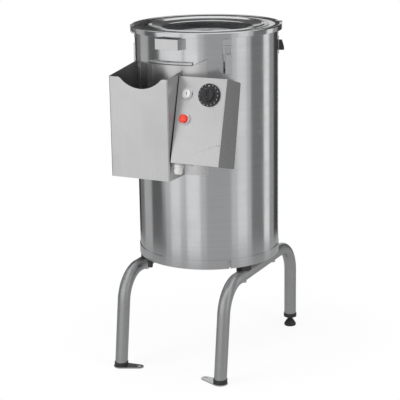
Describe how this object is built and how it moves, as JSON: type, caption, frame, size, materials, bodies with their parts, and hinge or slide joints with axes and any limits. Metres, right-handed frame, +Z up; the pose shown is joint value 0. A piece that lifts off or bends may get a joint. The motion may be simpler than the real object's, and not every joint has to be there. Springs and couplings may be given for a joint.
{
  "type": "electric potato peeler",
  "caption": "Free-standing drum potato peeler on three tubular legs, with a see-through lift-off lid, discharge chute and leaning control box.",
  "frame": {"origin": "on the floor, under the drum's axis", "axes": "+Z up along the drum's axis, -Y towards the chute and the control box (the front), +X to the right seen from the front"},
  "size_m": [0.3799, 0.522, 0.8564],
  "materials": {
    "drum_steel": "brushed stainless steel, grain round the drum",
    "sheet_steel": "fine satin stainless sheet",
    "tube_steel": "satin stainless tube",
    "bright_steel": "bright fasteners and catches",
    "black_plastic": "moulded, fine texture",
    "black_rubber": "matt rubber",
    "clear_window": "clear polycarbonate",
    "grey_nylon": "pale nylon",
    "red_plastic": "glossy",
    "white_plastic": "glossy",
    "motor_paint": "painted motor casing",
    "cast_iron": "machined casting",
    "aluminium": "turned aluminium",
    "abrasive": "grit bonded to metal"
  },
  "bodies": {
    "frame": {"right_bow": "tube_steel", "left_leg": "tube_steel", "leg_caps": "black_plastic", "floor_tabs": "sheet_steel", "stand_pads": "black_rubber", "stand_bolts": "bright_steel", "base_plate": "sheet_steel", "clamp_band": "drum_steel", "base_bolts": "bright_steel", "deck_posts": "bright_steel", "deck_plate": "sheet_steel", "drum_shell": "drum_steel", "drum_collar": "drum_steel", "collar_handle": "sheet_steel", "collar_rivets": "bright_steel", "chamber_floor": "sheet_steel", "drain_spigot": "sheet_steel", "chamber_liner": "abrasive", "water_inlet": "bright_steel", "bearing_housing": "cast_iron", "bearings": "bright_steel", "shaft_seal": "black_rubber", "drive_motor": "motor_paint", "drive_belt": "black_rubber", "motor_bolts": "bright_steel", "latch_bases": "bright_steel", "latch_strikes": "bright_steel", "lid_switch": "black_plastic", "switch_bracket": "sheet_steel", "discharge_chute": "sheet_steel", "splash_plate": "sheet_steel", "gate_guides": "sheet_steel", "chute_rivets": "bright_steel", "control_box": "sheet_steel", "control_panel": "sheet_steel", "panel_screw": "bright_steel", "button_bezels": "bright_steel", "switch_blocks": "black_plastic", "cable_gland": "grey_nylon"},
    "disc": {"abrasive_disc": "abrasive", "main_shaft": "bright_steel", "main_pulley": "aluminium", "disc_nut": "bright_steel"},
    "motor_rotor": {"motor_shaft": "bright_steel", "motor_pulley": "aluminium"},
    "lid": {"lid_ring": "drum_steel", "lid_window": "clear_window", "lid_clips": "bright_steel", "lid_seal": "black_rubber"},
    "gate": {"discharge_gate": "sheet_steel"},
    "foot": {"levelling_foot": "black_plastic"},
    "start": {"start_button": "white_plastic"},
    "stop": {"stop_button": "red_plastic"},
    "knob": {"timer_knob": "black_plastic"},
    "lever_1": {"latch_lever_1": "bright_steel"},
    "bail_1": {"latch_bail_1": "bright_steel"},
    "lever_2": {"latch_lever_2": "bright_steel"},
    "bail_2": {"latch_bail_2": "bright_steel"},
    "lever_3": {"latch_lever_3": "bright_steel"},
    "bail_3": {"latch_bail_3": "bright_steel"}
  },
  "joints": [
    {"name": "disc_spin", "type": "hinge", "parent": "frame", "child": "disc", "pos_m": [0, 0, 0.5], "axis": [0, 0, 1], "continuous": true},
    {"name": "motor_spin", "type": "hinge", "parent": "frame", "child": "motor_rotor", "pos_m": [0.0792, -0.0792, 0.33], "axis": [0, 0, 1], "continuous": true},
    {"name": "lid_lift", "type": "slide", "parent": "frame", "child": "lid", "axis": [0, 0, 1], "range_m": [0, 0.12]},
    {"name": "gate_lift", "type": "slide", "parent": "frame", "child": "gate", "axis": [0, 0, 1], "range_m": [0, 0.055]},
    {"name": "foot_screw", "type": "slide", "parent": "frame", "child": "foot", "axis": [0, 0, -1], "range_m": [0, 0.015]},
    {"name": "start_press", "type": "slide", "parent": "frame", "child": "start", "axis": [0, 0.9641, -0.2656], "range_m": [0, 0.003], "stiffness_N_per_m": 600, "springref_m": -0.001},
    {"name": "stop_press", "type": "slide", "parent": "frame", "child": "stop", "axis": [0, 0.9641, -0.2656], "range_m": [0, 0.004], "stiffness_N_per_m": 600, "springref_m": -0.001},
    {"name": "timer_turn", "type": "hinge", "parent": "frame", "child": "knob", "pos_m": [0.1096, -0.21408, 0.71561], "axis": [0, 0.9641, -0.2656], "range_deg": [0, 300]},
    {"name": "lever_1_turn", "type": "hinge", "parent": "frame", "child": "lever_1", "pos_m": [0.12406, -0.13925, 0.8], "axis": [-0.7466, -0.6652, 0], "range_deg": [0, 120]},
    {"name": "bail_1_turn", "type": "hinge", "parent": "lever_1", "child": "bail_1", "pos_m": [0.12373, -0.13887, 0.788], "axis": [-0.7466, -0.6652, 0], "range_deg": [-120, 0]},
    {"name": "lever_2_turn", "type": "hinge", "parent": "frame", "child": "lever_2", "pos_m": [-0.18307, -0.03559, 0.8], "axis": [-0.1908, 0.9816, 0], "range_deg": [0, 120]},
    {"name": "bail_2_turn", "type": "hinge", "parent": "lever_2", "child": "bail_2", "pos_m": [-0.18258, -0.03549, 0.788], "axis": [-0.1908, 0.9816, 0], "range_deg": [-120, 0]},
    {"name": "lever_3_turn", "type": "hinge", "parent": "frame", "child": "lever_3", "pos_m": [0.06072, 0.17634, 0.8], "axis": [0.9455, -0.3256, 0], "range_deg": [0, 120]},
    {"name": "bail_3_turn", "type": "hinge", "parent": "lever_3", "child": "bail_3", "pos_m": [0.06056, 0.17587, 0.788], "axis": [0.9455, -0.3256, 0], "range_deg": [-120, 0]}
  ],
  "couplings": [
    {"joint": "motor_spin", "follows": "disc_spin", "ratio": 3.2269},
    {"joint": "bail_1_turn", "follows": "lever_1_turn", "ratio": -1},
    {"joint": "bail_2_turn", "follows": "lever_2_turn", "ratio": -1},
    {"joint": "bail_3_turn", "follows": "lever_3_turn", "ratio": -1}
  ]
}
